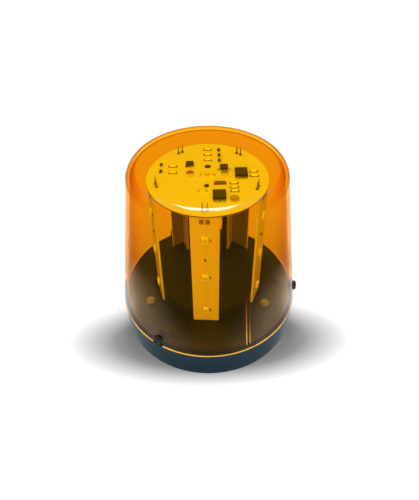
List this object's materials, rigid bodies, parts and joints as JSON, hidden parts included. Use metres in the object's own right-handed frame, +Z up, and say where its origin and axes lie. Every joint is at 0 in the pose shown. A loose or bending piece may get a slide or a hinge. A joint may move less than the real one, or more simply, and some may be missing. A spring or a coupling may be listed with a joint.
{
  "type": "led beacon",
  "caption": "Round amber warning beacon: tapered clear lens over a ring of upright LED boards on a round base, bolted from below.",
  "frame": {"origin": "centre of the circular mounting face and of the bolt circle, on the underside of the base", "axes": "+Z up through the lens roof, -Y towards the front, +X to the right seen from the front"},
  "size_m": [0.1517, 0.15, 0.1568],
  "materials": {
    "base_plastic": "satin moulded",
    "amber_lens": "clear amber polycarbonate",
    "black_rubber": "matt",
    "brass": "turned",
    "black_screw": "black oxide",
    "board_laminate": "white solder mask",
    "led_package": "moulded",
    "tinned_pins": "tinned",
    "chip_black": "moulded epoxy",
    "capacitor_sleeve": "drawn can",
    "resistor_body": "printed chip",
    "ceramic": "ceramic chip",
    "trimmer_body": "moulded",
    "cable_sheath": "grey sheath",
    "plug_housing": "moulded nylon",
    "terminal_body": "moulded nylon",
    "zinc_screw": "zinc plated"
  },
  "bodies": {
    "base": {"base_housing": "base_plastic", "board_pins": "tinned_pins", "capacitors": "capacitor_sleeve", "chip_capacitors": "ceramic", "chip_resistors": "resistor_body", "controller_chip": "chip_black", "foot_gasket": "black_rubber", "fuse": "ceramic", "gate_resistors": "resistor_body", "led_board_1": "board_laminate", "led_board_2": "board_laminate", "led_board_3": "board_laminate", "led_board_4": "board_laminate", "led_board_5": "board_laminate", "led_board_passives": "chip_black", "leds_1": "led_package", "leds_2": "led_package", "leds_3": "led_package", "leds_4": "led_package", "leds_5": "led_package", "lens_gasket": "black_rubber", "mounting_bushes": "brass", "power_switches": "chip_black", "rear_brace_left": "board_laminate", "rear_brace_right": "board_laminate", "rectifier_diodes": "chip_black", "riser_grommet": "black_rubber", "riser_plug": "plug_housing", "screw_inserts": "brass", "signal_transistors": "chip_black", "supply_riser": "cable_sheath", "terminal_block": "terminal_body", "terminal_screws": "zinc_screw", "top_board": "board_laminate", "trimmer": "trimmer_body", "voltage_regulator": "chip_black"},
    "lens": {"lens_dome": "amber_lens"},
    "lens_screw_1": {"lens_screw_1": "black_screw"},
    "lens_screw_2": {"lens_screw_2": "black_screw"},
    "lens_screw_3": {"lens_screw_3": "black_screw"}
  },
  "joints": [
    {"name": "lens_lift", "type": "slide", "parent": "base", "child": "lens", "axis": [0, 0, 1], "range_m": [0, 0.135]},
    {"name": "lens_screw_1_turn", "type": "hinge", "parent": "base", "child": "lens_screw_1", "pos_m": [-0.03965, -0.05769, 0.032], "axis": [-0.5664, -0.8241, 0], "continuous": true},
    {"name": "lens_screw_2_turn", "type": "hinge", "parent": "base", "child": "lens_screw_2", "pos_m": [0.06978, -0.00549, 0.032], "axis": [0.9969, -0.0785, 0], "continuous": true},
    {"name": "lens_screw_3_turn", "type": "hinge", "parent": "base", "child": "lens_screw_3", "pos_m": [-0.03014, 0.06318, 0.032], "axis": [-0.4305, 0.9026, 0], "continuous": true}
  ]
}
